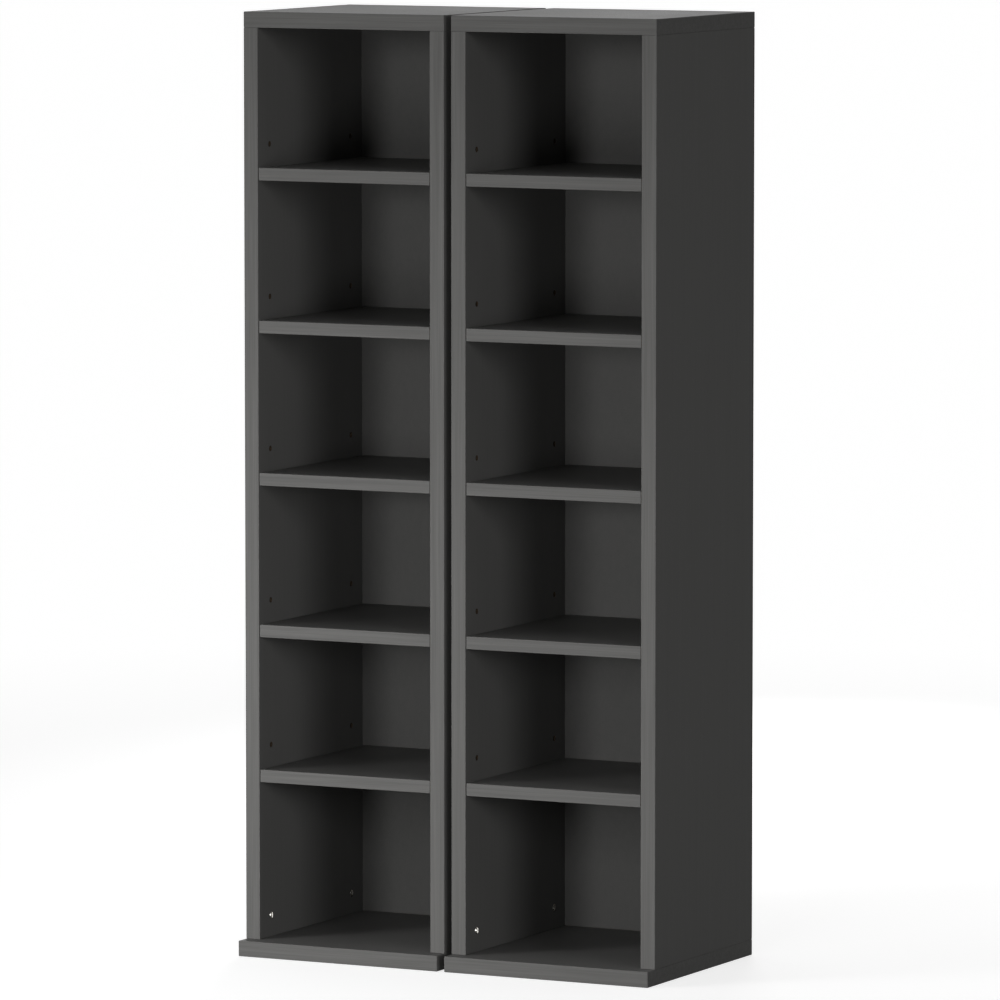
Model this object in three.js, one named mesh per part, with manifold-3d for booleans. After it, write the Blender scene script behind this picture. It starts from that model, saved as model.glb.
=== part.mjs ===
// Two equal storage towers for CD and DVD cases, which stand side by side on the floor.
// Millimetres, +Z up. The fronts face -Y. The origin is on the floor, midway between the towers.
import * as THREE from 'three';
import { mergeVertices } from 'three/addons/utils/BufferGeometryUtils.js';
import Module from 'manifold-3d';

const wasm = await Module();
wasm.setup();

// The carcass of a tower
const towerHeight = 900;
const towerWidth = 213;
const boardThickness = 15;
const sideDepth = 211;
const baseLip = 15.5;
const towerGap = 7.5;
const arris = 0.5;

// The thin back, planted on the back edges of the sides
const backThickness = 3;
const backInset = 0.5;

// The shelves, and the shares of the clear height that the bays take from the top down
const shelfThickness = 12;
const shelfEndClearance = 0.5;
const shelfFrontSetback = 0.5;
const shelfBackClearance = 0.5;
const bayShares = [265, 266, 266, 266, 254, 303];

// The shelf pins: a spigot in the side panel, then a collar, a neck and a head that carry the shelf
const pinSpigotDiameter = 5;
const pinHeadDiameter = 6.4;
const pinCollarWidth = 1;
const pinNeckWidth = 1;
const pinHeadWidth = 4;
const pinChamfer = 0.8;
const pinFit = 0.2;
const pinHoleWall = 5;
const pinHoleSpare = 1;
const pinColumnInset = 23.5;
const sparePinRise = 30;

// The rebate along the lower edge of each shelf end, which hides the pins and runs out at the back
const rebatePinClearance = 0.5;
const rebateUnderPin = 0.3;
const shelfSeatGap = 0.3;

// The dowels in the ends of the side panels
const dowelDiameter = 8;
const dowelInset = 62;
const dowelFit = 0.2;
const dowelHoleWall = 4.5;
const dowelEndClearance = 0.5;

// The bolts that come up through the base, and the cross nuts in the side panels that take them
const boltHoleDiameter = 4.5;
const boltHeadRecessDiameter = 8.6;
const boltHeadRecessDepth = 3.2;
const crossNutDiameter = 7;
const crossNutWall = 2.5;
const crossNutRise = 20.5;
const boltBeyondNut = 6;

// How far a cutter starts outside a board, the sides of round holes and bars, and the steps of a curve
const overrun = 1;
const roundSides = 10;
const curveSteps = 4;

// Sizes and places that follow
const interiorWidth = towerWidth - 2 * boardThickness;
const towerDepth = baseLip + sideDepth + backThickness;
const baseFrontY = -towerDepth / 2;
const sideFrontY = baseFrontY + baseLip;
const sideBackY = sideFrontY + sideDepth;
const towerBackY = sideBackY + backThickness;
const baseTopZ = boardThickness;
const ceilingZ = towerHeight - boardThickness;
const towerPitch = towerWidth + towerGap;
const pinLength = pinCollarWidth + pinNeckWidth + pinHeadWidth;
const pinHoleDepth = boardThickness - pinHoleWall;
const pinSpigotLength = pinHoleDepth - pinHoleSpare;
const dowelHoleDepth = boardThickness - dowelHoleWall;
const dowelReach = dowelHoleDepth - dowelEndClearance;
const crossNutDepth = boardThickness - crossNutWall;
const pinColumnsY = [sideFrontY + pinColumnInset, sideBackY - pinColumnInset];
const dowelRowsY = [sideFrontY + dowelInset, sideBackY - dowelInset];
const rebateHeight = pinHeadDiameter + rebateUnderPin + shelfSeatGap;

const axes = {
  x: new THREE.Vector3(1, 0, 0),
  y: new THREE.Vector3(0, 1, 0),
  z: new THREE.Vector3(0, 0, 1),
};
const planes = { x: ['y', 'z'], y: ['z', 'x'], z: ['x', 'y'] };

// The closed solid of a geometry, with its shared vertices merged
function solidOf(geometry) {
  geometry.deleteAttribute('normal');
  geometry.deleteAttribute('uv');
  const merged = mergeVertices(geometry);
  const vertProperties = merged.getAttribute('position').array;
  const triVerts = merged.getIndex().array;
  return new wasm.Manifold(new wasm.Mesh({ numProp: 3, vertProperties, triVerts }));
}

// The geometry of a solid
function geometryOf(solid) {
  const { vertProperties, triVerts } = solid.getMesh();
  const geometry = new THREE.BufferGeometry();
  geometry.setAttribute('position', new THREE.BufferAttribute(vertProperties, 3));
  geometry.setIndex(new THREE.BufferAttribute(triVerts, 1));
  geometry.computeVertexNormals();
  return geometry;
}

// An outline extruded along one axis from low to high, with the given easing of its end faces
function extrusion(outline, axis, low, high, easing) {
  const geometry = new THREE.ExtrudeGeometry(outline, {
    depth: high - low - 2 * easing,
    bevelEnabled: easing > 0,
    bevelThickness: easing,
    bevelSize: easing,
    bevelOffset: -easing,
    bevelSegments: 1,
    curveSegments: curveSteps,
  });
  const [across, up] = planes[axis];
  geometry.translate(0, 0, low + easing);
  geometry.applyMatrix4(new THREE.Matrix4().makeBasis(axes[across], axes[up], axes[axis]));
  return solidOf(geometry);
}

// A board between two corners, with eased arrises round the two faces that its thin axis runs through
function board(low, high, thin) {
  const [across, up] = planes[thin];
  const outline = new THREE.Shape();
  outline.moveTo(low[across], low[up]);
  outline.lineTo(high[across], low[up]);
  outline.lineTo(high[across], high[up]);
  outline.lineTo(low[across], high[up]);
  outline.closePath();
  return extrusion(outline, thin, low[thin], high[thin], arris);
}

// A round bar that starts behind a point and runs to a distance beyond it
function bar(diameter, point, direction, behind, beyond) {
  const radius = diameter / 2;
  const geometry = new THREE.CylinderGeometry(radius, radius, behind + beyond, roundSides);
  geometry.translate(0, (beyond - behind) / 2, 0);
  geometry.applyQuaternion(new THREE.Quaternion().setFromUnitVectors(axes.y, direction));
  geometry.translate(point.x, point.y, point.z);
  return solidOf(geometry);
}

// The cutter of a blind hole whose mouth is at a point
function drill(diameter, mouth, direction, depth) {
  return bar(diameter, mouth, direction, overrun, depth);
}

// The undersides of the shelves, from the top down, one between each bay and the next
function shelfUndersides() {
  const shelfCount = bayShares.length - 1;
  const clearHeight = ceilingZ - baseTopZ - shelfCount * shelfThickness;
  const allShares = bayShares.reduce((sum, share) => sum + share);
  const undersides = [];
  let ceiling = ceilingZ;
  for (const share of bayShares.slice(0, shelfCount)) {
    ceiling -= clearHeight * share / allShares + shelfThickness;
    undersides.push(ceiling);
  }
  return undersides;
}

// The height of the pins in the rebates of a shelf
function pinAxisZ(underside) {
  return underside + rebateHeight - shelfSeatGap - pinHeadDiameter / 2;
}

// The middle of a side panel's thickness; side is -1 on the left and 1 on the right
function sideMiddleX(side) {
  return side * (towerWidth - boardThickness) / 2;
}

function basePanel() {
  const low = new THREE.Vector3(-towerWidth / 2, baseFrontY, 0);
  const high = new THREE.Vector3(towerWidth / 2, towerBackY, baseTopZ);
  let panel = board(low, high, 'z');
  const down = axes.z.clone().negate();
  for (const side of [-1, 1]) {
    const x = sideMiddleX(side);
    for (const y of dowelRowsY) {
      const mouth = new THREE.Vector3(x, y, baseTopZ);
      panel = panel.subtract(dowelHole(mouth, down));
    }
    for (const y of pinColumnsY) {
      const underneath = new THREE.Vector3(x, y, 0);
      panel = panel.subtract(drill(boltHoleDiameter, underneath, axes.z, boardThickness + overrun));
      panel = panel.subtract(drill(boltHeadRecessDiameter, underneath, axes.z, boltHeadRecessDepth));
    }
  }
  return panel;
}

function topPanel() {
  const low = new THREE.Vector3(-towerWidth / 2, sideFrontY, ceilingZ);
  const high = new THREE.Vector3(towerWidth / 2, towerBackY, towerHeight);
  let panel = board(low, high, 'z');
  for (const side of [-1, 1]) {
    for (const y of dowelRowsY) {
      const mouth = new THREE.Vector3(sideMiddleX(side), y, ceilingZ);
      panel = panel.subtract(dowelHole(mouth, axes.z));
    }
  }
  return panel;
}

function dowelHole(mouth, direction) {
  return drill(dowelDiameter + 2 * dowelFit, mouth, direction, dowelHoleDepth);
}

function backPanel() {
  const x = towerWidth / 2 - backInset;
  const low = new THREE.Vector3(-x, sideBackY, baseTopZ + backInset);
  const high = new THREE.Vector3(x, towerBackY, ceilingZ - backInset);
  return board(low, high, 'y');
}

// A side panel with its dowels, drilled inside for the shelf pins and the cross nuts
function sidePanel(side) {
  const innerX = side * interiorWidth / 2;
  const outerX = side * towerWidth / 2;
  const low = new THREE.Vector3(Math.min(innerX, outerX), sideFrontY, baseTopZ);
  const high = new THREE.Vector3(Math.max(innerX, outerX), sideBackY, ceilingZ);
  const outward = new THREE.Vector3(side, 0, 0);
  let panel = board(low, high, 'x');
  for (const y of pinColumnsY) {
    for (const underside of shelfUndersides()) {
      for (const rise of [0, sparePinRise]) {
        const mouth = new THREE.Vector3(innerX, y, pinAxisZ(underside) + rise);
        const diameter = pinSpigotDiameter + 2 * pinFit;
        panel = panel.subtract(drill(diameter, mouth, outward, pinHoleDepth));
      }
    }
    const nutMouth = new THREE.Vector3(innerX, y, baseTopZ + crossNutRise);
    panel = panel.subtract(drill(crossNutDiameter, nutMouth, outward, crossNutDepth));
    const boltMouth = new THREE.Vector3(sideMiddleX(side), y, baseTopZ);
    panel = panel.subtract(drill(boltHoleDiameter, boltMouth, axes.z, crossNutRise + boltBeyondNut));
  }
  return panel.add(sideDowels(side));
}

// The four dowels of a side panel, two in each end
function sideDowels(side) {
  const ends = [[ceilingZ, axes.z], [baseTopZ, axes.z.clone().negate()]];
  const bars = [];
  for (const [z, direction] of ends) {
    for (const y of dowelRowsY) {
      const point = new THREE.Vector3(sideMiddleX(side), y, z);
      bars.push(bar(dowelDiameter, point, direction, dowelReach, dowelReach));
    }
  }
  return bars.reduce((sum, dowel) => sum.add(dowel));
}

// A shelf, with a rebate in the lower edge of each end that stops short of its front
function shelf(underside) {
  const halfWidth = interiorWidth / 2 - shelfEndClearance;
  const backY = sideBackY - shelfBackClearance;
  const low = new THREE.Vector3(-halfWidth, sideFrontY + shelfFrontSetback, underside);
  const high = new THREE.Vector3(halfWidth, backY, underside + shelfThickness);
  let plate = board(low, high, 'z');
  for (const side of [-1, 1]) {
    const outline = rebateOutline(side, halfWidth, backY);
    plate = plate.subtract(extrusion(outline, 'z', underside - overrun, underside + rebateHeight, 0));
  }
  return plate;
}

// The rebate seen from above: its front end is the quarter round that the cutter leaves
function rebateOutline(side, halfWidth, backY) {
  const innerX = interiorWidth / 2 - pinLength - pinFit - rebatePinClearance;
  const round = halfWidth - innerX;
  const stopY = pinColumnsY[0] - pinHeadDiameter / 2 - rebatePinClearance - round;
  const outline = new THREE.Shape();
  outline.moveTo(side * innerX, backY + overrun);
  outline.lineTo(side * innerX, stopY + round);
  outline.quadraticCurveTo(side * innerX, stopY, side * halfWidth, stopY);
  outline.lineTo(side * (halfWidth + overrun), stopY);
  outline.lineTo(side * (halfWidth + overrun), backY + overrun);
  outline.closePath();
  return outline;
}

// A shelf pin, turned about its own axis, with its collar's inner face at the origin
function pinGeometry() {
  const spigotRadius = pinSpigotDiameter / 2;
  const headRadius = pinHeadDiameter / 2;
  const neckStart = pinCollarWidth;
  const headStart = neckStart + pinNeckWidth;
  const profile = [
    [0, -pinSpigotLength],
    [spigotRadius, -pinSpigotLength],
    [spigotRadius, 0],
    [headRadius, 0],
    [headRadius, neckStart],
    [spigotRadius, neckStart],
    [spigotRadius, headStart],
    [headRadius, headStart],
    [headRadius, pinLength - pinChamfer],
    [headRadius - pinChamfer, pinLength],
    [0, pinLength],
  ];
  return new THREE.LatheGeometry(profile.map(([r, along]) => new THREE.Vector2(r, along)), roundSides);
}

function greyBoard() {
  return new THREE.MeshStandardMaterial({ color: 0x4b4b49, roughness: 0.55, metalness: 0 });
}

function nickel() {
  return new THREE.MeshStandardMaterial({ color: 0xb9b7b0, roughness: 0.3, metalness: 1 });
}

function namedMesh(name, geometry, material) {
  const mesh = new THREE.Mesh(geometry, material);
  mesh.name = name;
  return mesh;
}

// The four pins of a shelf
function shelfPins(prefix, underside) {
  const pins = new THREE.Group();
  const rows = { front: pinColumnsY[0], rear: pinColumnsY[1] };
  const sides = { left: -1, right: 1 };
  for (const [row, y] of Object.entries(rows)) {
    for (const [sideName, side] of Object.entries(sides)) {
      const pin = namedMesh(`${prefix}_pin_${row}_${sideName}`, pinGeometry(), nickel());
      const inward = new THREE.Vector3(-side, 0, 0);
      pin.quaternion.setFromUnitVectors(axes.y, inward);
      pin.position.set(side * (interiorWidth / 2 - pinFit), y, pinAxisZ(underside));
      pins.add(pin);
    }
  }
  return pins;
}

// A whole tower about its own middle
function tower(prefix) {
  const group = new THREE.Group();
  const carcass = {
    base: basePanel(),
    top: topPanel(),
    left_side: sidePanel(-1),
    right_side: sidePanel(1),
    back: backPanel(),
  };
  for (const [name, solid] of Object.entries(carcass)) {
    group.add(namedMesh(`${prefix}_${name}`, geometryOf(solid), greyBoard()));
  }
  shelfUndersides().forEach((underside, index) => {
    const shelfName = `${prefix}_shelf_${index + 1}`;
    group.add(namedMesh(shelfName, geometryOf(shelf(underside)), greyBoard()));
    group.add(shelfPins(shelfName, underside));
  });
  return group;
}

const towers = new THREE.Group();
const leftTower = tower('left_tower');
leftTower.position.x = -towerPitch / 2;
const rightTower = tower('right_tower');
rightTower.position.x = towerPitch / 2;
towers.add(leftTower, rightTower);

export default towers;
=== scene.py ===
from math import cos, pi, radians, sin

import bmesh
import bpy
from mathutils import Matrix, Vector


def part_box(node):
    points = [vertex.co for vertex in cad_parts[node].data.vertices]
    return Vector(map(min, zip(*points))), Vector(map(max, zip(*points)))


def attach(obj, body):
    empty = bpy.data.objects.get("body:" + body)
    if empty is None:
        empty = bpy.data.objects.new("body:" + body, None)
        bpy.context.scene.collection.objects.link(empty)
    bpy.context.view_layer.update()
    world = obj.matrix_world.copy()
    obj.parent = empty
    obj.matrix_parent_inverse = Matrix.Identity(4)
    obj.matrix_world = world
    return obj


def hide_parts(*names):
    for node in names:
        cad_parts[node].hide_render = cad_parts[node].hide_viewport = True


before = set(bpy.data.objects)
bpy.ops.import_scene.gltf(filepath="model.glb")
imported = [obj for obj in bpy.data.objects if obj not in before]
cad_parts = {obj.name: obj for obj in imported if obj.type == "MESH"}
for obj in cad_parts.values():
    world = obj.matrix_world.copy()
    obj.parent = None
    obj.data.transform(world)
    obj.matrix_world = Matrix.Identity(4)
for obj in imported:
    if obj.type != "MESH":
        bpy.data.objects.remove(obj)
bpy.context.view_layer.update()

# Two equal storage towers of grey faced chipboard. Metres, +Z up, the fronts face -Y.
mm = 0.001

towers = ("left_tower", "right_tower")
sides = {"left": -1, "right": 1}
rows = ("front", "rear")
shelf_numbers = range(1, 6)

# The boards' rounded edges
arris = 0.6 * mm
arris_steps = 3

# Edges sharper than this many degrees aren't smoothed over
board_sharp_angle = 12
fitting_sharp_angle = 30

# The holes, as they are drilled
overrun = 1 * mm
hole_steps = 40
pin_hole_diameter = 5.4 * mm
pin_hole_depth = 10 * mm
spare_pin_rise = 30 * mm
dowel_hole_diameter = 8.4 * mm
dowel_hole_depth = 10.5 * mm
dowel_inset = 62 * mm
nut_hole_diameter = 7 * mm
nut_hole_depth = 12.5 * mm
nut_rise = 20.5 * mm
bolt_hole_diameter = 4.5 * mm
bolt_recess_diameter = 8.6 * mm
bolt_recess_depth = 3.2 * mm
bolt_beyond_nut = 6 * mm
nail_dimple_diameter = 4 * mm
nail_dimple_depth = 0.5 * mm

# The rebate in each shelf end
rebate_pin_clearance = 0.5 * mm
rebate_over_pin = 0.3 * mm
rebate_corner_steps = 10

# The fittings
turned_steps = 36
pin_spigot_diameter = 5 * mm
pin_collar_width = 1 * mm
pin_collar_sunk = 0.2 * mm
pin_neck_width = 1 * mm
pin_chamfer = 0.8 * mm
pin_edge = 0.2 * mm
nut_diameter = 6.8 * mm
nut_length = 11.8 * mm
nut_above_face = 0.6 * mm
nut_chamfer = 1.1 * mm
nut_slot_width = 1.6 * mm
nut_slot_depth = 1.8 * mm
nut_slot_chamfer = 0.7 * mm
bolt_head_diameter = 7.6 * mm
bolt_head_height = 2.6 * mm
bolt_head_edge = 0.5 * mm
bolt_shank_diameter = 3.9 * mm
bolt_root_diameter = 3.3 * mm
bolt_length = 36 * mm
bolt_plain_length = bolt_length / 3
bolt_steps = 24
bolt_pitch = 0.7 * mm
bolt_socket_width = 3 * mm
bolt_socket_depth = 1.8 * mm
bolt_head_below_base = 0.3 * mm
nail_head_diameter = 3.4 * mm
nail_head_height = 0.4 * mm
nail_head_flat_share = 0.8
nail_head_rim_share = 0.3
nail_shank_diameter = 1.4 * mm
nail_length = 20 * mm
nail_point_length = 2 * nail_shank_diameter
nail_steps = 20
nail_end_distance = 25 * mm
nails_in_a_row = 8
back_edge_reach = 0.47 * mm
dowel_diameter = 8 * mm
dowel_reach = 10 * mm
dowel_chamfer = 1 * mm
dowel_flutes = 16
dowel_flute_depth = 0.35 * mm

# The kinds of surface on a board, in the order of its material slots
FACE, EDGE, ARRIS, CORE, BORE, BEECH = range(6)

# The one surface of a fitting
PLATED = 0


# A short way to write a tree of shader nodes
def set_inputs(tree, node, **inputs):
    """Links or sets a node's inputs. Each is given by name, or by number as in _0."""
    for name, value in inputs.items():
        key = int(name[1:]) if name[1:].isdigit() else name.replace("_", " ")
        socket = node.inputs[key]
        if isinstance(value, bpy.types.NodeSocket):
            tree.links.new(value, socket)
        else:
            socket.default_value = value


def add_node(tree, kind, settings=None, **inputs):
    node = tree.nodes.new(kind)
    for name, value in (settings or {}).items():
        setattr(node, name, value)
    set_inputs(tree, node, **inputs)
    return node


def object_coordinate(tree, scale):
    place = add_node(tree, "ShaderNodeTexCoord").outputs["Object"]
    mapping = add_node(tree, "ShaderNodeMapping", Vector=place, Scale=scale)
    return mapping.outputs["Vector"]


def noise(tree, scale, detail=2.0, roughness=0.5):
    """Noise between 0 and 1, with its scale along each axis in features per metre."""
    node = add_node(
        tree, "ShaderNodeTexNoise",
        Vector=object_coordinate(tree, scale), Scale=1.0, Detail=detail, Roughness=roughness,
    )
    return node.outputs["Fac"]


def remap(tree, value, low, high, to_low, to_high):
    """The value taken from one range to another, and held within it."""
    node = add_node(
        tree, "ShaderNodeMapRange",
        Value=value, From_Min=low, From_Max=high, To_Min=to_low, To_Max=to_high,
    )
    return node.outputs["Result"]


def maths(tree, operation, first, second):
    return add_node(tree, "ShaderNodeMath", {"operation": operation}, _0=first, _1=second).outputs[0]


def total(tree, values):
    result = values[0]
    for value in values[1:]:
        result = maths(tree, "ADD", result, value)
    return result


def tinted(tree, colour, tone):
    """The colour times the tone."""
    node = add_node(tree, "ShaderNodeVectorMath", {"operation": "SCALE"}, _0=colour, Scale=tone)
    return node.outputs["Vector"]


def blended(tree, share, first, second):
    """The first colour, with a share of the second."""
    node = add_node(tree, "ShaderNodeMix", {"data_type": "RGBA"}, _0=share, _6=first, _7=second)
    return node.outputs[2]


def new_material(name):
    material = bpy.data.materials.new(name)
    material.use_nodes = True
    tree = material.node_tree
    return material, tree, tree.nodes["Principled BSDF"]


def bump(tree, height, distance):
    node = add_node(tree, "ShaderNodeBump", Height=height, Distance=distance, Strength=1.0)
    return node.outputs["Normal"]


def along(grain, fine, long):
    """The scale of a grain: long along one axis and fine along the other two."""
    return [long if axis == grain else fine for axis in "xyz"]


# Colours and gloss
grey = (0.116, 0.115, 0.112)
# The paler grey of worn edges, which also serves as a painted highlight along them
wear_and_highlight_grey = (0.165, 0.163, 0.158)
back_edge_grey = (0.095, 0.090, 0.083)
back_arris_grey = (0.110, 0.105, 0.098)
dark_chip = (0.38, 0.25, 0.135, 1)
pale_chip = (0.60, 0.44, 0.27, 1)
chip_fibre = (0.24, 0.15, 0.08, 1)
chip_gap = (0.07, 0.042, 0.024, 1)
# Near black painted shade for the walls of holes
hole_shade = (0.012, 0.010, 0.009, 1)
dark_beech = (0.50, 0.33, 0.19, 1)
pale_beech = (0.63, 0.45, 0.28, 1)
beech_fleck = (0.30, 0.17, 0.09, 1)
nickel_colour = (0.69, 0.67, 0.63)
zinc_colour = (0.42, 0.42, 0.43)
level_gloss = 0.025
upright_gloss = 0.006

# Streaks across and along the grain, in features per metre
fine_streaks = (1100, 11)
broad_streaks = (260, 3)

# The parts of the noise's range that are spread over a tone
tight = (0.3, 0.7)
mid = (0.25, 0.75)
wide = (0.2, 0.8)


def facing_material(name, grain, streak, speckle, roughness, gloss):
    """The printed grey facing: faint streaks along the grain, slow drifts of tone and fine pores."""
    material, tree, shader = new_material(name)
    streaks = noise(tree, along(grain, *fine_streaks), detail=3)
    bands = noise(tree, along(grain, *broad_streaks))
    drift = noise(tree, (5, 5, 5))
    pores = noise(tree, along(grain, 5200, 1700), detail=1)
    tone = total(tree, [
        remap(tree, streaks, *mid, 1 - streak, 1 + streak),
        remap(tree, bands, *mid, -0.6 * streak, 0.6 * streak),
        remap(tree, drift, *tight, -0.025, 0.025),
        remap(tree, pores, *tight, -speckle, speckle),
    ])
    shine = total(tree, [
        remap(tree, drift, *tight, roughness - 0.04, roughness + 0.04),
        remap(tree, pores, *tight, -0.05, 0.05),
    ])
    relief = total(tree, [
        remap(tree, pores, *wide, 0, 0.6),
        remap(tree, streaks, *wide, 0, 0.4),
    ])
    set_inputs(
        tree, shader,
        Base_Color=tinted(tree, grey, tone),
        Roughness=shine,
        Specular_IOR_Level=gloss,
        Normal=bump(tree, relief, 0.03 * mm),
    )
    return material


def arris_material(name, grain):
    """The rounded edge of a board, rubbed paler here and there as wear. The paler tone also stands as
    a painted highlight along the edge.
    """
    material, tree, shader = new_material(name)
    wear_and_highlight_mask = noise(tree, along(grain, 150, 45), detail=4, roughness=0.65)
    streaks = noise(tree, along(grain, *fine_streaks), detail=3)
    base = tinted(tree, grey, remap(tree, streaks, *mid, 0.97, 1.05))
    # Paler wear on the edge, which is also a painted highlight along it
    wear_and_highlight = tinted(tree, wear_and_highlight_grey, remap(tree, streaks, *mid, 0.95, 1.05))
    set_inputs(
        tree, shader,
        Base_Color=blended(tree, remap(tree, wear_and_highlight_mask, 0.45, 0.75, 0.05, 0.6), base, wear_and_highlight),
        Roughness=remap(tree, wear_and_highlight_mask, *tight, 0.5, 0.38),
        Specular_IOR_Level=upright_gloss,
        Normal=bump(tree, wear_and_highlight_mask, 0.03 * mm),
    )
    return material


def chipboard_material(name, tone):
    """Raw chipboard: pressed chips with dark gaps. A tone near 0 turns it into the near black painted
    shade inside a hole.
    """
    material, tree, shader = new_material(name)
    place = object_coordinate(tree, (520, 520, 900))
    chips = add_node(tree, "ShaderNodeTexVoronoi", Vector=place, Scale=1.0, Randomness=1.0)
    to_edge = {"feature": "DISTANCE_TO_EDGE"}
    edges = add_node(tree, "ShaderNodeTexVoronoi", to_edge, Vector=place, Scale=1.0)
    gaps = edges.outputs["Distance"]
    fibre = noise(tree, (2600, 2600, 900), detail=3)
    grade = add_node(tree, "ShaderNodeSeparateColor", Color=chips.outputs["Color"]).outputs[0]
    wood = blended(tree, grade, dark_chip, pale_chip)
    toned = blended(tree, remap(tree, fibre, *tight, 0.0, 0.45), wood, chip_fibre)
    chipboard = blended(tree, remap(tree, gaps, 0.0, 0.12, 0.75, 0.0), toned, chip_gap)
    set_inputs(
        tree, shader,
        # The lower the tone, the more of the painted hole shade
        Base_Color=blended(tree, tone, hole_shade, chipboard),
        Roughness=remap(tree, fibre, *tight, 0.8, 0.95),
        Specular_IOR_Level=0.2,
        Normal=bump(tree, gaps, 0.25 * mm),
    )
    return material


def beech_material():
    """The dowels' beech, with its grain and short flecks along the dowel."""
    material, tree, shader = new_material("beech_dowel")
    grain = noise(tree, (900, 900, 40), detail=3)
    flecks = noise(tree, (3200, 3200, 420), detail=1)
    wood = blended(tree, remap(tree, grain, *tight, 0, 1), dark_beech, pale_beech)
    set_inputs(
        tree, shader,
        Base_Color=blended(tree, remap(tree, flecks, 0.62, 0.72, 0, 0.6), wood, beech_fleck),
        Roughness=remap(tree, grain, *tight, 0.55, 0.7),
        Specular_IOR_Level=0.3,
        Normal=bump(tree, grain, 0.05 * mm),
    )
    return material


def back_board_material(name, colour, fibre_tone):
    """Thin hardboard under a dark print: matted short fibres and slow changes of tone."""
    material, tree, shader = new_material(name)
    fibres = noise(tree, (1500, 1500, 700), detail=5, roughness=0.7)
    mats = noise(tree, (210, 210, 120), detail=3)
    drift = noise(tree, (6, 6, 6))
    tone = total(tree, [
        remap(tree, fibres, *tight, 1 - fibre_tone, 1 + fibre_tone),
        remap(tree, mats, *tight, -0.5 * fibre_tone, 0.5 * fibre_tone),
        remap(tree, drift, *tight, -0.03, 0.03),
    ])
    set_inputs(
        tree, shader,
        Base_Color=tinted(tree, colour, tone),
        Roughness=remap(tree, fibres, *tight, 0.6, 0.75),
        Specular_IOR_Level=upright_gloss,
        Normal=bump(tree, fibres, 0.06 * mm),
    )
    return material


def metal_material(name, colour, roughness, mark_scale):
    """Plated steel, with fine turning marks and a slightly uneven shine."""
    material, tree, shader = new_material(name)
    marks = noise(tree, mark_scale, detail=2)
    clouds = noise(tree, (700, 700, 700), detail=3)
    tone = total(tree, [
        remap(tree, marks, *tight, 0.94, 1.04),
        remap(tree, clouds, *tight, -0.05, 0.03),
    ])
    set_inputs(
        tree, shader,
        Base_Color=tinted(tree, colour, tone),
        Metallic=1.0,
        Roughness=remap(tree, clouds, *tight, roughness - 0.05, roughness + 0.08),
        Normal=bump(tree, marks, 0.01 * mm),
    )
    return material


def board_materials(grain, gloss):
    """A board's materials, in the order of the kinds of surface. The grain runs along one axis."""
    facing = {"streak": 0.03, "speckle": 0.035, "roughness": 0.38, "gloss": gloss}
    edge_band = {"streak": 0.13, "speckle": 0.03, "roughness": 0.46, "gloss": upright_gloss}
    return [
        facing_material(f"grey_facing_{grain}", grain, **facing),
        facing_material(f"grey_edge_band_{grain}", grain, **edge_band),
        arris_material(f"grey_arris_{grain}", grain),
        sawn_chipboard,
        # The walls of holes: painted shade
        bore_painted_shade,
        beech,
    ]


sawn_chipboard = chipboard_material("sawn_chipboard", tone=1.0)
# The walls of drilled holes: mostly painted shade, with a little of the chipboard showing
bore_painted_shade = chipboard_material("bore_painted_shade", tone=0.12)
beech = beech_material()
upright_board = board_materials("z", upright_gloss)
level_board = board_materials("x", level_gloss)
back_board = [
    back_board_material("grey_back_front", grey, fibre_tone=0.05),
    back_board_material("grey_back_edge", back_edge_grey, fibre_tone=0.12),
    back_board_material("grey_back_arris", back_arris_grey, fibre_tone=0.12),
]
nickel = metal_material("nickel_plate", nickel_colour, roughness=0.24, mark_scale=(2600, 2600, 300))
zinc = metal_material("zinc_plate", zinc_colour, roughness=0.42, mark_scale=(1800, 1800, 1800))


# Meshes
def mesh_object(name, bm, materials, sharp_from):
    """An object of the mesh, smooth but for edges sharper than the given angle."""
    bmesh.ops.recalc_face_normals(bm, faces=bm.faces)
    mesh = bpy.data.meshes.new(name)
    bm.to_mesh(mesh)
    bm.free()
    for material in materials:
        mesh.materials.append(material)
    mesh.shade_smooth()
    mesh.set_sharp_from_angle(angle=radians(sharp_from))
    piece = bpy.data.objects.new(name, mesh)
    bpy.context.scene.collection.objects.link(piece)
    return piece


def discard(piece):
    mesh = piece.data
    bpy.data.objects.remove(piece)
    bpy.data.meshes.remove(mesh)


def mesh_back(piece):
    """The mesh of a piece that is still to be worked on. The piece itself goes."""
    bm = bmesh.new()
    bm.from_mesh(piece.data)
    discard(piece)
    return bm


def add_mesh(bm, other):
    """Adds the other mesh to the first and frees it."""
    mesh = bpy.data.meshes.new("added")
    other.to_mesh(mesh)
    other.free()
    bm.from_mesh(mesh)
    bpy.data.meshes.remove(mesh)


def axis_place(point, direction):
    """The placement that takes +Z at the origin to a direction at a point."""
    return Matrix.Translation(point) @ Vector(direction).to_track_quat("Z", "Y").to_matrix().to_4x4()


def board(low, high, kinds):
    """A board between two corners with rounded edges. kinds gives the surface across each axis."""
    bm = bmesh.new()
    bmesh.ops.create_cube(bm, size=1, matrix=Matrix.LocRotScale((low + high) / 2, None, high - low))
    for face in bm.faces:
        axis = max(range(3), key=lambda i: abs(face.normal[i]))
        low_kind, high_kind = kinds["xyz"[axis]]
        face.material_index = high_kind if face.normal[axis] > 0 else low_kind
    bmesh.ops.bevel(
        bm, geom=bm.edges[:], offset=arris, segments=arris_steps, profile=0.5,
        affect="EDGES", material=ARRIS,
    )
    return bm


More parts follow.
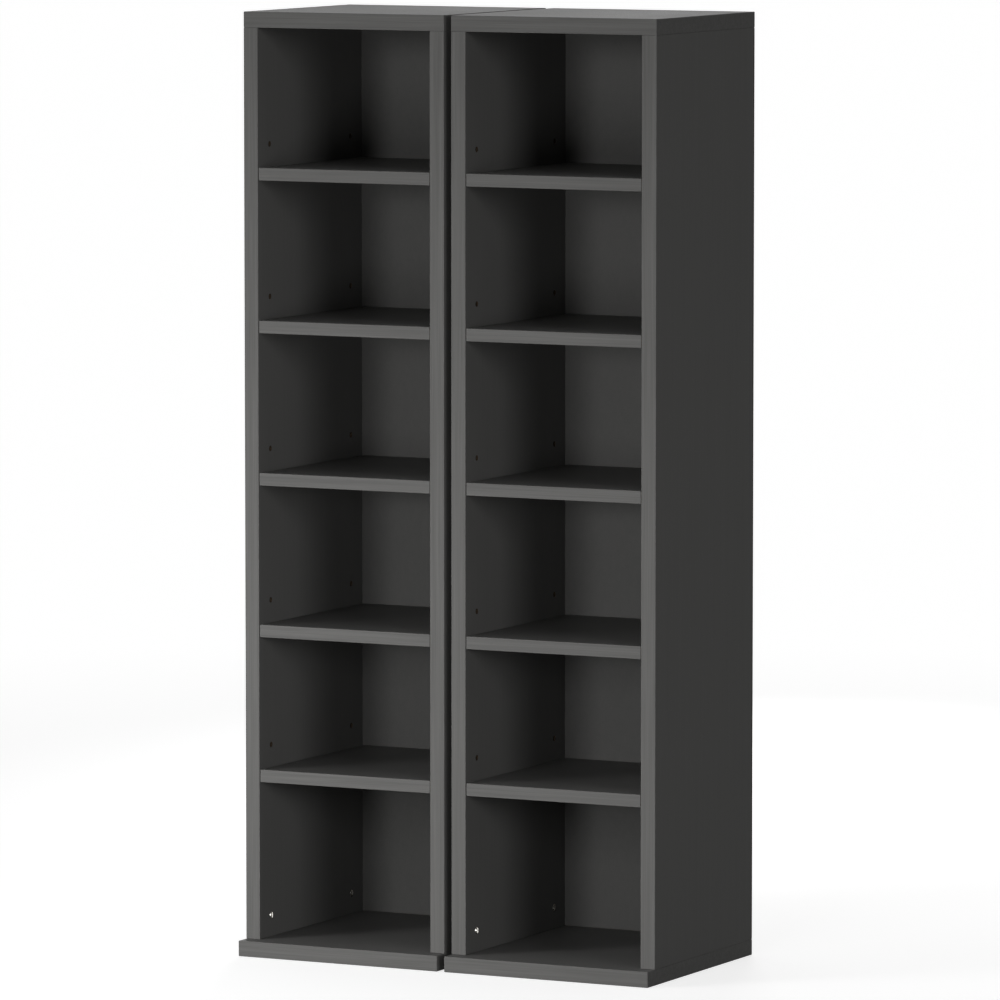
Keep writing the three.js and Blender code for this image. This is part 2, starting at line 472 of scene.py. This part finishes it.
def add_rod(bm, diameter, start, direction, length, steps=hole_steps, kind=BORE):
    """A closed round bar from a point."""
    before = set(bm.faces)
    bmesh.ops.create_cone(
        bm, cap_ends=True, segments=steps, radius1=diameter / 2, radius2=diameter / 2,
        depth=length, matrix=axis_place(start + direction * length / 2, direction),
    )
    for face in set(bm.faces) - before:
        face.material_index = kind


def add_drill(bm, diameter, mouth, direction, depth, kind=BORE):
    """The cutter of a blind hole whose mouth is at a point."""
    add_rod(bm, diameter, mouth - direction * overrun, direction, depth + overrun, kind=kind)


def add_prism(bm, outline, low, high, kind):
    """A closed prism of an outline in plan, from one height to another."""
    lower = [bm.verts.new((x, y, low)) for x, y in outline]
    upper = [bm.verts.new((x, y, high)) for x, y in outline]
    faces = [bm.faces.new(lower[::-1]), bm.faces.new(upper)]
    for i in range(len(outline)):
        j = (i + 1) % len(outline)
        faces.append(bm.faces.new((lower[i], lower[j], upper[j], upper[i])))
    for face in faces:
        face.material_index = kind


def carved(name, bm, cutters, materials, sharp_from=board_sharp_angle):
    """The mesh less its cutters, as an object."""
    piece = mesh_object(name, bm, materials, sharp_from)
    cutter = mesh_object(name + "_cutter", cutters, materials, sharp_from)
    cut = piece.modifiers.new("cut", "BOOLEAN")
    cut.operation = "DIFFERENCE"
    cut.solver = "EXACT"
    cut.object = cutter
    bpy.context.view_layer.update()
    evaluated = piece.evaluated_get(bpy.context.evaluated_depsgraph_get())
    result = bmesh.new()
    result.from_mesh(evaluated.to_mesh())
    evaluated.to_mesh_clear()
    discard(piece)
    discard(cutter)
    return mesh_object(name, result, materials, sharp_from)


def turned(profile, place, steps=turned_steps, kind=PLATED):
    """A turned piece. Its profile gives radius and distance along the axis, from axis to axis."""
    bm = bmesh.new()
    rings = []
    for radius, distance in profile:
        if radius == 0:
            rings.append([bm.verts.new(place @ Vector((0, 0, distance)))])
            continue
        ring = []
        for i in range(steps):
            angle = 2 * pi * i / steps
            point = Vector((radius * cos(angle), radius * sin(angle), distance))
            ring.append(bm.verts.new(place @ point))
        rings.append(ring)
    for first, second in zip(rings, rings[1:]):
        for i in range(steps):
            j = (i + 1) % steps
            lower = [first[i % len(first)], first[j % len(first)]]
            upper = [second[j % len(second)], second[i % len(second)]]
            unique = list(dict.fromkeys(lower + upper))
            if len(unique) > 2:
                bm.faces.new(unique).material_index = kind
    return bm


def seated(piece, body, slot, *nodes):
    """The piece rides on its body and stands for the nodes. Its slot is not used."""
    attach(piece, body)
    if nodes:
        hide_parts(*nodes)


# Places that the frame gives
def middle(node):
    low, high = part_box(node)
    return (low + high) / 2


def pin_name(tower, shelf, row, side):
    return f"{tower}_shelf_{shelf}_pin_{row}_{side}"


def pin_column_y(row):
    return middle(pin_name("left_tower", 1, row, "left")).y


def pin_heights(tower):
    return [middle(pin_name(tower, shelf, "front", "left")).z for shelf in shelf_numbers]


def dowel_rows_y():
    low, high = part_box("left_tower_left_side")
    return (low.y + dowel_inset, high.y - dowel_inset)


def base_top_z():
    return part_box("left_tower_base")[1].z


def ceiling_z():
    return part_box("left_tower_top")[0].z


def side_middle_x(tower, side):
    return middle(f"{tower}_{side}_side").x


def inner_face_x(tower, side):
    low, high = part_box(f"{tower}_{side}_side")
    return high.x if side == "left" else low.x


UP = Vector((0, 0, 1))
BACKWARD = Vector((0, 1, 0))


def outward(side):
    return Vector((sides[side], 0, 0))


# The boards
banded_all_round = {"x": (EDGE, EDGE), "y": (EDGE, EDGE), "z": (FACE, FACE)}


def base_board(tower):
    low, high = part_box(f"{tower}_base")
    cutters = bmesh.new()
    for side in sides:
        x = side_middle_x(tower, side)
        for y in dowel_rows_y():
            add_drill(cutters, dowel_hole_diameter, Vector((x, y, high.z)), -UP, dowel_hole_depth)
    bm = board(low, high, banded_all_round)
    drilled = carved(f"{tower}_base_drilled", bm, cutters, level_board)
    bores = bmesh.new()
    for side in sides:
        for row in rows:
            underneath = Vector((side_middle_x(tower, side), pin_column_y(row), low.z))
            profile = [
                (0, -overrun),
                (bolt_recess_diameter / 2, -overrun),
                (bolt_recess_diameter / 2, bolt_recess_depth),
                (bolt_hole_diameter / 2, bolt_recess_depth),
                (bolt_hole_diameter / 2, high.z - low.z + overrun),
                (0, high.z - low.z + overrun),
            ]
            add_mesh(bores, turned(profile, axis_place(underneath, UP), hole_steps, BORE))
    piece = carved(f"{tower}_base_board", mesh_back(drilled), bores, level_board)
    seated(piece, tower, "grey_board", f"{tower}_base")


def top_board(tower):
    low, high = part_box(f"{tower}_top")
    cutters = bmesh.new()
    for side in sides:
        for y in dowel_rows_y():
            mouth = Vector((side_middle_x(tower, side), y, low.z))
            add_drill(cutters, dowel_hole_diameter, mouth, UP, dowel_hole_depth)
    bm = board(low, high, banded_all_round)
    piece = carved(f"{tower}_top_board", bm, cutters, level_board)
    seated(piece, tower, "grey_board", f"{tower}_top")


def side_board(tower, side):
    """A side, drilled for its pins, cross nuts and bolts, with its dowels glued in."""
    node = f"{tower}_{side}_side"
    low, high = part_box(node)
    low.z, high.z = base_top_z(), ceiling_z()
    inner_x = inner_face_x(tower, side)
    middle_x = side_middle_x(tower, side)
    cutters = bmesh.new()
    for row in rows:
        y = pin_column_y(row)
        for height in pin_heights(tower):
            for rise in (0, spare_pin_rise):
                mouth = Vector((inner_x, y, height + rise))
                add_drill(cutters, pin_hole_diameter, mouth, outward(side), pin_hole_depth)
    bm = board(low, high, {"x": (FACE, FACE), "y": (EDGE, CORE), "z": (CORE, CORE)})
    drilled = carved(f"{node}_drilled", bm, cutters, upright_board)
    for direction, diameter, depth, x, z in (
        (outward(side), nut_hole_diameter, nut_hole_depth, inner_x, base_top_z() + nut_rise),
        (UP, bolt_hole_diameter, nut_rise + bolt_beyond_nut, middle_x, base_top_z()),
    ):
        bores = bmesh.new()
        for row in rows:
            add_drill(bores, diameter, Vector((x, pin_column_y(row), z)), direction, depth)
        drilled = carved(f"{node}_drilled", mesh_back(drilled), bores, upright_board)
    bm = mesh_back(drilled)
    for z, direction in ((base_top_z(), -UP), (ceiling_z(), UP)):
        for y in dowel_rows_y():
            add_mesh(bm, dowel(Vector((middle_x, y, z)), direction))
    piece = mesh_object(f"{node}_board", bm, upright_board, board_sharp_angle)
    seated(piece, tower, "grey_board", node)


def dowel(point, direction):
    """A dowel that stands out of a board's end by its reach. Every second point is down a flute."""
    half = dowel_diameter / 2
    profile = [
        (0, -dowel_reach),
        (half, -dowel_reach),
        (half, dowel_reach - dowel_chamfer),
        (half - dowel_chamfer / 2, dowel_reach),
        (0, dowel_reach),
    ]
    bm = turned(profile, Matrix.Identity(4), 2 * dowel_flutes, BEECH)
    for vert in list(bm.verts)[::2]:
        vert.co.xy *= 1 - dowel_flute_depth / half
    bm.transform(axis_place(point, direction))
    return bm


def back_panel(tower):
    """The thin back, with a dimple for each nail."""
    node = f"{tower}_back"
    low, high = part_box(node)
    low -= Vector((back_edge_reach, 0, back_edge_reach))
    high += Vector((back_edge_reach, 0, back_edge_reach))
    cutters = bmesh.new()
    for place in nail_places(tower):
        add_drill(cutters, nail_dimple_diameter, place, -BACKWARD, nail_dimple_depth, EDGE)
    bm = board(low, high, {"x": (EDGE, EDGE), "y": (FACE, EDGE), "z": (EDGE, EDGE)})
    piece = carved(f"{node}_panel", bm, cutters, back_board)
    seated(piece, tower, "grey_back_board", node)


def nail_places(tower):
    """The middles of the nail heads, on the back's rear face along both sides."""
    low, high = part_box(f"{tower}_back")
    first, last = low.z + nail_end_distance, high.z - nail_end_distance
    step = (last - first) / (nails_in_a_row - 1)
    return [
        Vector((side_middle_x(tower, side), high.y, first + step * i))
        for side in sides
        for i in range(nails_in_a_row)
    ]


def nails(tower):
    """The back's nails, driven just below its face."""
    bm = bmesh.new()
    head, shank = nail_head_diameter / 2, nail_shank_diameter / 2
    sunk = nail_dimple_depth - nail_head_height
    profile = [
        (0, 0),
        (head * nail_head_flat_share, 0),
        (head, nail_head_height * nail_head_rim_share),
        (head, nail_head_height * (1 - nail_head_rim_share)),
        (shank, nail_head_height),
        (shank, nail_length - nail_point_length),
        (0, nail_length),
    ]
    for place in nail_places(tower):
        add_mesh(bm, turned(profile, axis_place(place - BACKWARD * sunk, -BACKWARD), nail_steps))
    piece = mesh_object(f"{tower}_back_nails", bm, [zinc], fitting_sharp_angle)
    seated(piece, tower, "nickel")


def shelf_board(tower, shelf):
    """A shelf, with a rebate in the lower edge of each end that hides its pins."""
    node = f"{tower}_shelf_{shelf}"
    low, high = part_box(node)
    cutters = bmesh.new()
    for side, sign in sides.items():
        pin_low, pin_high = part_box(pin_name(tower, shelf, "front", side))
        pin_end = pin_high.x if side == "left" else pin_low.x
        inner_x = pin_end - sign * rebate_pin_clearance
        end_x = high.x if side == "right" else low.x
        corner = abs(end_x - inner_x)
        stop_y = pin_low.y - rebate_pin_clearance - corner
        outline = [(inner_x, high.y + overrun)]
        for i in range(rebate_corner_steps + 1):
            turn = pi / 2 * i / rebate_corner_steps
            x = end_x - sign * corner * cos(turn)
            y = stop_y + corner - corner * sin(turn)
            outline.append((x, y))
        outline.append((end_x + sign * overrun, stop_y))
        outline.append((end_x + sign * overrun, high.y + overrun))
        add_prism(cutters, outline, low.z - overrun, pin_high.z + rebate_over_pin, CORE)
    bm = board(low, high, {"x": (CORE, CORE), "y": (EDGE, CORE), "z": (FACE, FACE)})
    piece = carved(f"{node}_board", bm, cutters, level_board)
    seated(piece, f"{node}_body", "grey_board", node)


# The fittings
def shelf_pin(tower, shelf, row, side):
    """A turned pin: a spigot in the side, a collar on its face, a neck and a head."""
    node = pin_name(tower, shelf, row, side)
    low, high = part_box(node)
    spigot, head = pin_spigot_diameter / 2, (high.z - low.z) / 2
    outer_x, tip_x = (low.x, high.x) if side == "left" else (high.x, low.x)
    length = abs(tip_x - outer_x)
    collar = abs(inner_face_x(tower, side) - outer_x) - pin_collar_sunk
    neck = collar + pin_collar_width
    cap = neck + pin_neck_width
    profile = [
        (0, 0),
        (spigot - 2 * pin_edge, 0),
        (spigot, 2 * pin_edge),
        (spigot, collar),
        (head - pin_edge, collar),
        (head, collar + pin_edge),
        (head, neck - pin_edge),
        (head - pin_edge, neck),
        (spigot, neck),
        (spigot, cap),
        (head - pin_edge, cap),
        (head, cap + pin_edge),
        (head, length - pin_chamfer),
        (head - pin_chamfer, length),
        (0, length),
    ]
    start = Vector((outer_x, (low.y + high.y) / 2, (low.z + high.z) / 2))
    bm = turned(profile, axis_place(start, -outward(side)))
    piece = mesh_object(f"{node}_turned", bm, [nickel], fitting_sharp_angle)
    seated(piece, tower, "nickel", node)


def cross_nut(tower, side, row):
    """A barrel nut in the side. The slot in its end is upright and has chamfered lips."""
    radius = nut_diameter / 2
    inward = -outward(side)
    face_x = inner_face_x(tower, side) + inward.x * nut_above_face
    end = Vector((face_x, pin_column_y(row), base_top_z() + nut_rise))
    start = end - inward * nut_length
    profile = [
        (0, 0),
        (radius - nut_chamfer, 0),
        (radius, nut_chamfer),
        (radius, nut_length - nut_chamfer),
        (radius - nut_chamfer, nut_length),
        (0, nut_length),
    ]
    bm = turned(profile, axis_place(start, inward))
    flare = nut_slot_chamfer + overrun
    half_slot = [
        (end.x + inward.x * overrun, nut_slot_width / 2 + flare),
        (end.x - inward.x * nut_slot_chamfer, nut_slot_width / 2),
        (end.x - inward.x * nut_slot_depth, nut_slot_width / 2),
    ]
    outline = [(x, end.y - y) for x, y in half_slot]
    outline += [(x, end.y + y) for x, y in reversed(half_slot)]
    cutters = bmesh.new()
    add_prism(cutters, outline, end.z - nut_diameter, end.z + nut_diameter, PLATED)
    piece = carved(f"{tower}_cross_nut_{side}_{row}", bm, cutters, [nickel], fitting_sharp_angle)
    seated(piece, tower, "nickel")


def bolt(tower, side, row):
    """A bolt up through the base into the cross nut, with a hexagonal socket in its head."""
    head, shank, root = bolt_head_diameter / 2, bolt_shank_diameter / 2, bolt_root_diameter / 2
    low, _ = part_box(f"{tower}_base")
    under = Vector((side_middle_x(tower, side), pin_column_y(row), low.z + bolt_head_below_base))
    profile = [
        (0, 0),
        (head - bolt_head_edge, 0),
        (head, bolt_head_edge),
        (head, bolt_head_height),
        (shank, bolt_head_height),
    ]
    turns = int((bolt_length - bolt_plain_length) / bolt_pitch) - 1
    for i in range(turns):
        crest = bolt_plain_length + i * bolt_pitch
        profile += [(shank, crest), (root, crest + bolt_pitch / 2)]
    profile += [(root, bolt_length), (0, bolt_length)]
    bm = turned(profile, axis_place(under, UP), bolt_steps)
    cutters = bmesh.new()
    across_corners = bolt_socket_width / cos(pi / 6)
    start = under - UP * overrun
    add_rod(cutters, across_corners, start, UP, overrun + bolt_socket_depth, steps=6, kind=PLATED)
    piece = carved(f"{tower}_bolt_{side}_{row}", bm, cutters, [nickel], fitting_sharp_angle)
    seated(piece, tower, "nickel")


for tower in towers:
    base_board(tower)
    top_board(tower)
    back_panel(tower)
    nails(tower)
    for side in sides:
        side_board(tower, side)
        for row in rows:
            cross_nut(tower, side, row)
            bolt(tower, side, row)
    for shelf in shelf_numbers:
        shelf_board(tower, shelf)
        for row in rows:
            for side in sides:
                shelf_pin(tower, shelf, row, side)


# The stage: a pale floor that shows the towers' shadow, under a white surround
floor_size = 120
floor_drop = 0.2 * mm
floor_bounce = (0.26, 0.26, 0.26, 1)
floor_seen = (0.5, 0.5, 0.5, 1)
glow_near = 0.71
glow_far = 0.83
glow_near_reach = 0.4
glow_far_reach = 2.6
surround_dim = 0.04
surround_bright = 0.37
surround_edge = 0.55
surround_bright_side = (-0.6, 0.8, 0.0)
white = (1, 1, 1, 1)


def seen_directly(tree):
    """1 for what the camera, gloss or glass sees, and 0 for the light that surfaces gather."""
    path = add_node(tree, "ShaderNodeLightPath").outputs
    mirrored = maths(tree, "MAXIMUM", path["Is Glossy Ray"], path["Is Transmission Ray"])
    return maths(tree, "MAXIMUM", path["Is Camera Ray"], mirrored)


def make_floor():
    """A pale floor with a glow of its own, which is less by the towers, where the lamps light it."""
    bm = bmesh.new()
    below = Matrix.Translation(-UP * floor_drop)
    bmesh.ops.create_grid(bm, x_segments=1, y_segments=1, size=floor_size / 2, matrix=below)
    material, tree, shader = new_material("pale_floor")
    tree.nodes.remove(shader)
    gathered = add_node(tree, "ShaderNodeBsdfDiffuse", Color=floor_bounce).outputs[0]
    lit = add_node(tree, "ShaderNodeBsdfDiffuse", Color=floor_seen).outputs[0]
    place = add_node(tree, "ShaderNodeTexCoord").outputs["Object"]
    away = add_node(tree, "ShaderNodeVectorMath", {"operation": "LENGTH"}, _0=place).outputs["Value"]
    strength = remap(tree, away, glow_near_reach, glow_far_reach, glow_near, glow_far)
    glow = add_node(tree, "ShaderNodeEmission", Color=white, Strength=strength).outputs[0]
    seen = add_node(tree, "ShaderNodeAddShader", _0=lit, _1=glow).outputs[0]
    direct = seen_directly(tree)
    mix = add_node(tree, "ShaderNodeMixShader", _0=direct, _1=gathered, _2=seen).outputs[0]
    tree.links.new(mix, tree.nodes["Material Output"].inputs["Surface"])
    floor = mesh_object("pale_floor", bm, [material], board_sharp_angle)


def make_surround():
    """White where it is seen directly. Its light is a soft fill, brightest at the back on the left."""
    world = bpy.data.worlds.new("surround")
    bpy.context.scene.world = world
    world.use_nodes = True
    tree = world.node_tree
    tree.nodes.remove(tree.nodes["Background"])
    direction = add_node(tree, "ShaderNodeTexCoord").outputs["Generated"]
    nearness = add_node(
        tree, "ShaderNodeVectorMath", {"operation": "DOT_PRODUCT"},
        _0=direction, _1=surround_bright_side,
    ).outputs["Value"]
    strength = remap(tree, nearness, surround_edge, 1.0, surround_dim, surround_bright)
    fill = add_node(tree, "ShaderNodeBackground", Color=white, Strength=strength).outputs[0]
    seen = add_node(tree, "ShaderNodeBackground", Color=white, Strength=1.0).outputs[0]
    direct = seen_directly(tree)
    mix = add_node(tree, "ShaderNodeMixShader", _0=direct, _1=fill, _2=seen).outputs[0]
    tree.links.new(mix, tree.nodes["World Output"].inputs["Surface"])


def area_lamp(name, place, target, size, power, spread):
    """A square soft lamp at a place, turned to a target. Its spread is in degrees."""
    light = bpy.data.lights.new(name, "AREA")
    light.shape = "SQUARE"
    light.size = size
    light.energy = power
    light.spread = radians(spread)
    lamp = bpy.data.objects.new(name, light)
    lamp.location = place
    lamp.rotation_mode = "QUATERNION"
    lamp.rotation_quaternion = (Vector(target) - Vector(place)).to_track_quat("-Z", "Y")
    bpy.context.scene.collection.objects.link(lamp)


def sun_lamp(name, towards, strength, angle):
    """A distant soft lamp that shines from a direction. Its angle is in degrees."""
    light = bpy.data.lights.new(name, "SUN")
    light.energy = strength
    light.angle = radians(angle)
    lamp = bpy.data.objects.new(name, light)
    lamp.rotation_mode = "QUATERNION"
    lamp.rotation_quaternion = Vector(towards).to_track_quat("Z", "Y")
    bpy.context.scene.collection.objects.link(lamp)


make_floor()
make_surround()
area_lamp("left_key", (-1.2, -1.3, 0.3), (0.0, -0.1, 0.1), size=0.5, power=6.25, spread=90)
area_lamp("right_fill", (0.35, -1.3, 0.5), (0.0, -0.1, 0.4), size=0.4, power=1.45, spread=110)
area_lamp("behind", (-0.8, 2.2, 0.5), (0.0, 0.1, 0.45), size=0.6, power=9, spread=80)
sun_lamp("front", (-0.1, -1.0, 0.1), strength=0.62, angle=10)
sun_lamp("right", (0.85, -0.5, 0.15), strength=0.6, angle=20)
sun_lamp("above", (0.0, 0.1, 1.0), strength=0.7, angle=60)

# The camera, where the photograph was taken from
camera_place = (3.45854, -6.83188, 1.17694)
camera_turn = 26.8176
camera_tilt = 5.5201
camera_lens = 291.63
camera_sensor = 36
camera_reach = 200
camera_data = bpy.data.cameras.new("camera")
camera_data.lens = camera_lens
camera_data.sensor_width = camera_sensor
camera_data.clip_end = camera_reach
camera = bpy.data.objects.new("camera", camera_data)
camera.location = camera_place
camera.rotation_euler = (radians(90 - camera_tilt), 0, radians(camera_turn))
bpy.context.scene.collection.objects.link(camera)
bpy.context.scene.camera = camera
bpy.context.scene.view_settings.view_transform = "Standard"
